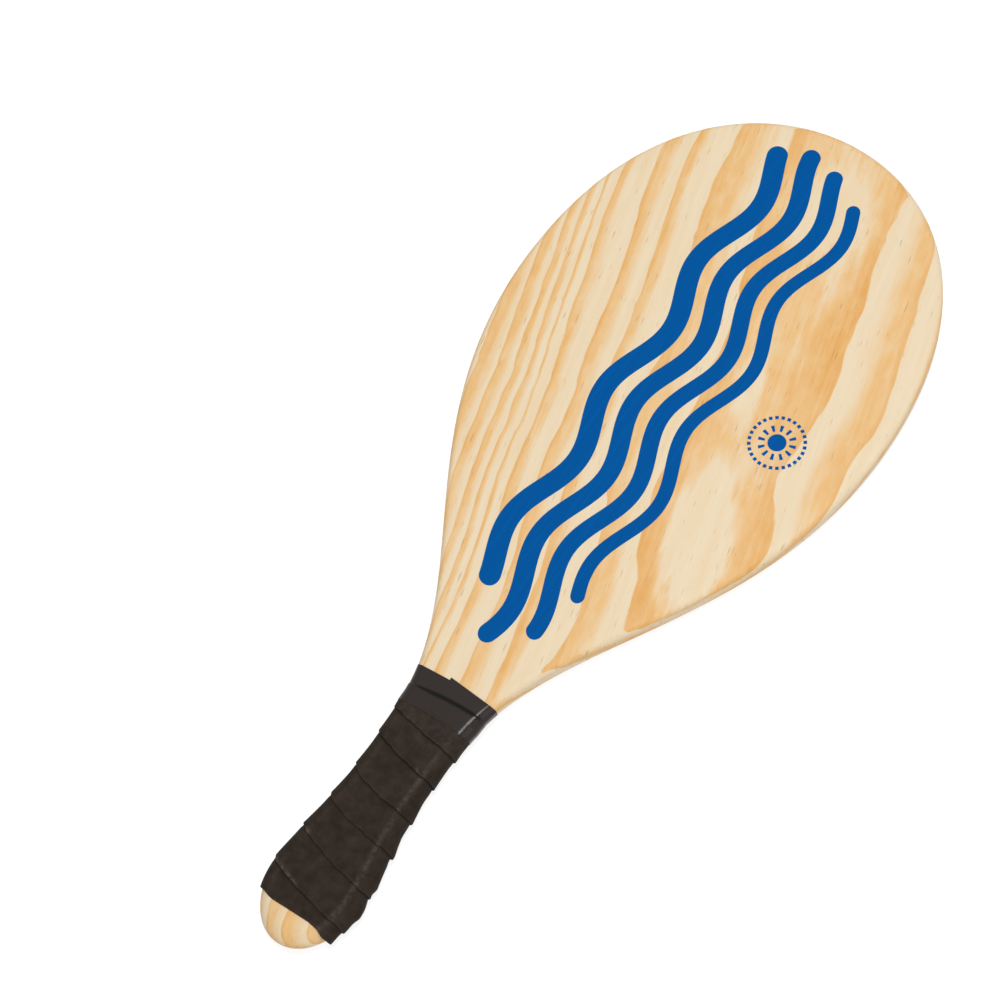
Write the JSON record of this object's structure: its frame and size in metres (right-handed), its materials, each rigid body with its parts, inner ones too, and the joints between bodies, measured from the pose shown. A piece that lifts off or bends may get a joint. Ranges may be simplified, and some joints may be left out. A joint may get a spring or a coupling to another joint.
{
  "type": "frescobol racket",
  "caption": "Flat pear-shaped wooden beach racket with rounded edges, its handle cut from the same board, wound in dark grip tape and bound at the neck with glossy tape.",
  "frame": {"origin": "centre of the bounding box's bottom face: on the surface that the racket lies on, under the middle of its length and width", "axes": "+Y from the butt to the head along the racket's length, +X across the blade, +Z out of the front face, square to the board"},
  "size_m": [0.195, 0.45, 0.0168],
  "materials": {
    "pine_board": "flat-sawn pine, satin clear lacquer, blue printed stripes",
    "grip_tape": "matte dark brown-black, fine grained",
    "vinyl_tape": "smooth, glossy"
  },
  "bodies": {
    "root": {"blade_board": "pine_board", "grip_tape": "grip_tape", "finishing_tape": "vinyl_tape"}
  },
  "joints": []
}
